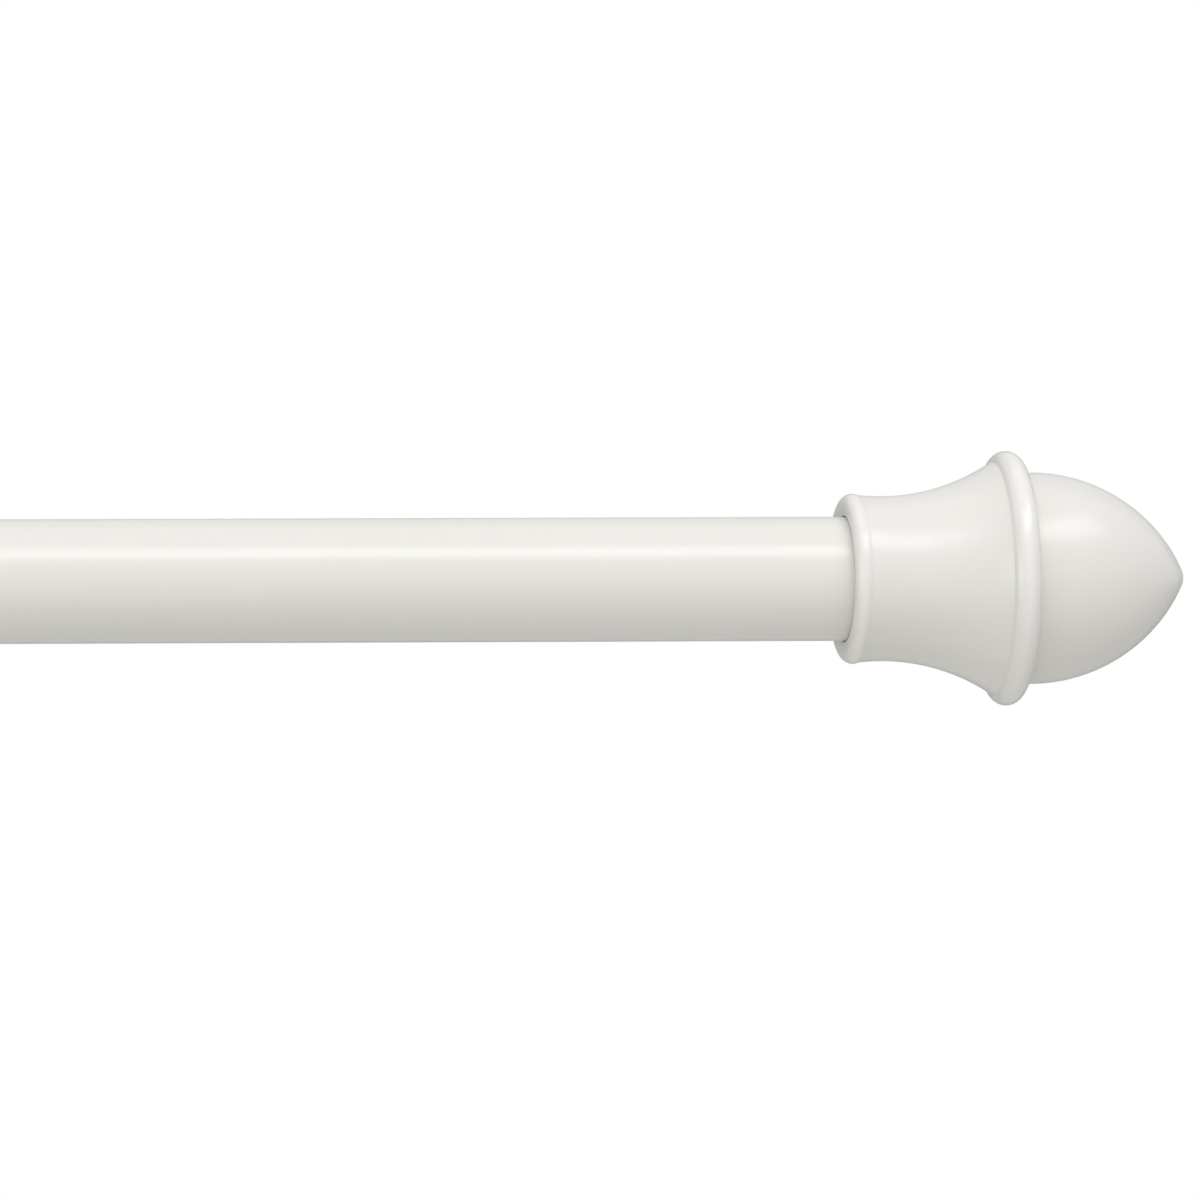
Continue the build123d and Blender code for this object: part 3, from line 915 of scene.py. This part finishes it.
class CAFEROD_OT_stage(RodOperator, bpy.types.Operator):
    """Set up the pale floor, the white surround, the soft lamps, the grey cards and the camera"""

    bl_idname = "cafe_rod.stage"
    bl_label = "Stage"

    def execute(self, context):
        studio = context.scene.cafe_rod_studio
        context.scene.view_settings.view_transform = "Standard"
        self.floor(studio)
        self.surround(context, studio)
        key_size = (studio.key_width, studio.key_height)
        for side, step, radiance in (
            ("left", -1, studio.key_left_level),
            ("middle", 0, studio.key_level),
            ("right", 1, studio.key_right_level),
        ):
            key_bearing = (studio.key_azimuth + step * studio.key_spacing, studio.key_elevation)
            self.lamp(f"{side}_softbox", studio, key_bearing, key_size, radiance)
        strip_size = (studio.strip_width, studio.strip_height)
        self.lamp("strip_light", studio, (studio.strip_azimuth, 0), strip_size, studio.strip_level)
        panel_size = (studio.panel_width, studio.panel_height)
        self.lamp("left_panel", studio, (studio.panel_azimuth, 0), panel_size, studio.panel_level)
        self.grey_cards(studio)
        self.camera(context, studio)
        return {"FINISHED"}

    def floor(self, studio):
        """A square: minus and plus the reach along X and Y, at the drop below the rod."""
        reach, depth = studio.floor_reach, -studio.floor_drop
        signs = ((-1, -1), (1, -1), (1, 1), (-1, 1))
        corners = np.array([(x * reach, y * reach, depth) for x, y in signs])
        piece("studio_floor", corners, [(0, 1, 2, 3)], [pale_floor(studio)])

    def grey_cards(self, studio):
        """Cards behind the rod that only gloss sees, so that they draw a fine grey line along its edges.

        Their section runs back along the floor in two stretches and up in two more. It is carried
        along X, and each stretch is a card with a level of its own.
        """
        floor, back = studio.card_lift - studio.floor_drop, studio.card_distance
        section = np.array([
            (studio.card_start, floor),
            (studio.card_split, floor),
            (back, floor),
            (back, studio.card_middle),
            (back, studio.card_top),
        ])
        levels = (
            studio.card_near_level,
            studio.card_far_level,
            studio.card_low_level,
            studio.card_high_level,
        )
        sides = [np.insert(section, 0, side, axis=1) for side in (-studio.card_reach, studio.card_reach)]
        seams, count = len(section), len(levels)
        stretches = [(i, i + 1, i + 1 + seams, i + seams) for i in range(count)]
        paints = [card_paint(radiance) for radiance in levels]
        cards = piece("grey_cards", np.vstack(sides), stretches, paints, which=range(count))
        cards.visible_camera = cards.visible_diffuse = cards.visible_shadow = False

    def surround(self, context, studio):
        """White where it is seen, and light on the object that fades to the rod's two ends and the top.

        The light falls to the level of the ends with the square of a direction's part along X, and
        to the level of the top with the square of its part upwards.
        """
        world = bpy.data.worlds.new("white_surround")
        world.use_nodes = True
        tree = world.node_tree
        tree.nodes.clear()
        direction = add_node(tree, "ShaderNodeTexCoord").outputs["Object"]
        parts = add_node(tree, "ShaderNodeSeparateXYZ", {"Vector": direction}).outputs
        endwise = add_node(tree, "ShaderNodeMath", {0: parts["X"], 1: 2.0}, operation="POWER")
        above = add_node(tree, "ShaderNodeMath", {0: parts["Z"], 1: 0.0}, operation="MAXIMUM")
        upwards = add_node(tree, "ShaderNodeMath", {0: above.outputs[0], 1: 2.0}, operation="POWER")
        level_light = between(tree, endwise.outputs[0], studio.surround, studio.surround_ends)
        fade = studio.surround_top - studio.surround
        light = add_node(
            tree,
            "ShaderNodeMath",
            {0: upwards.outputs[0], 1: fade, 2: level_light},
            operation="MULTIPLY_ADD",
        )
        strength = add_node(
            tree, "ShaderNodeMix", {"Factor": seen_directly(tree), "A": light.outputs[0], "B": 1.0}
        )
        sky = add_node(
            tree, "ShaderNodeBackground", {"Color": (1, 1, 1, 1), "Strength": strength.outputs["Result"]}
        )
        add_node(tree, "ShaderNodeOutputWorld", {"Surface": sky.outputs["Background"]})
        context.scene.world = world

    def lamp(self, name, studio, towards, size, radiance):
        """An area lamp at an azimuth and elevation from the object, facing it.

        Its power is pi times its area times its radiance, so that it shines the same at any size.
        """
        azimuth, elevation = towards
        level_reach = math.cos(elevation)
        aside, ahead = level_reach * math.sin(azimuth), level_reach * math.cos(azimuth)
        bearing_out = Vector((aside, -ahead, math.sin(elevation)))
        data = bpy.data.lights.new(name, "AREA")
        data.shape = "RECTANGLE"
        data.size, data.size_y = size
        data.energy = math.pi * size[0] * size[1] * radiance
        lamp = bpy.data.objects.new(name, data)
        lamp.location = bearing_out * studio.lamp_distance
        lamp.rotation_euler = bearing_out.to_track_quat("Z", "Y").to_euler()
        lamp.visible_camera = False
        bpy.context.scene.collection.objects.link(lamp)

    def camera(self, context, studio):
        """A long lens that frames the right end of the rod as the photograph does.

        The tube's width in pixels gives the scale, and the pixel places of the finial's mouth and of
        the rod's axis give where the middle of the picture falls beside them.
        """
        picture_side = 1200
        tube_width_px = 124.02
        mouth_px = 841.64
        axis_px = 579.7
        pixel = 2 * OUTER_RADIUS / tube_width_px
        data = bpy.data.cameras.new("photo_camera")
        data.lens = studio.lens
        data.dof.use_dof = False
        distance = picture_side * pixel * data.lens / data.sensor_width
        turn = studio.view_azimuth
        aside = Vector((math.cos(turn), math.sin(turn), 0))
        back = Vector((math.sin(turn), -math.cos(turn), 0))
        upright = Vector((0, 0, 1))
        mouth = Vector((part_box("right_finial_bell")[0].x, 0, 0))
        middle = picture_side / 2
        shift = aside * (middle - mouth_px) + upright * (axis_px - middle)
        camera = bpy.data.objects.new("photo_camera", data)
        facing = Matrix((aside, upright, back)).transposed() @ Matrix.Rotation(-studio.view_roll, 3, "Z")
        camera.matrix_world = Matrix.Translation(mouth + shift * pixel + back * distance) @ facing.to_4x4()
        data.clip_start, data.clip_end = 0.1, 100
        context.scene.collection.objects.link(camera)
        context.scene.camera = camera


class CAFEROD_PT_panel(bpy.types.Panel):
    """Lists the rod's pieces, sizes, finishes and stage in the sidebar"""

    bl_idname = "CAFEROD_PT_panel"
    bl_label = "Cafe Rod"
    bl_space_type = "VIEW_3D"
    bl_region_type = "UI"
    bl_category = "Cafe Rod"

    def draw(self, context):
        layout = self.layout
        for operator in OPERATORS:
            layout.operator(operator.bl_idname)
        for key, group in SETTINGS.items():
            layout.label(text=group.__name__)
            for name in group.__annotations__:
                layout.prop(getattr(context.scene, key), name)


SETTINGS = {
    "cafe_rod_tubes": TubeSizes,
    "cafe_rod_finials": FinialSizes,
    "cafe_rod_finishes": RodFinishes,
    "cafe_rod_studio": StudioSettings,
}
OPERATORS = (CAFEROD_OT_tubes, CAFEROD_OT_bushes, CAFEROD_OT_bells, CAFEROD_OT_acorns, CAFEROD_OT_stage)
CLASSES = (*SETTINGS.values(), *OPERATORS, CAFEROD_PT_panel)


def register():
    """Adds the classes to Blender and the settings to its scenes."""
    for cls in CLASSES:
        bpy.utils.register_class(cls)
    for key, group in SETTINGS.items():
        setattr(bpy.types.Scene, key, PointerProperty(type=group))


def unregister():
    """Takes the settings and the classes away again."""
    for key in SETTINGS:
        delattr(bpy.types.Scene, key)
    for cls in reversed(CLASSES):
        bpy.utils.unregister_class(cls)


def main():
    """Registers the add-on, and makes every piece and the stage."""
    register()
    bpy.ops.cafe_rod.tubes()
    bpy.ops.cafe_rod.bushes()
    bpy.ops.cafe_rod.bells()
    bpy.ops.cafe_rod.acorns()
    bpy.ops.cafe_rod.stage()


if __name__ == "__main__":
    main()
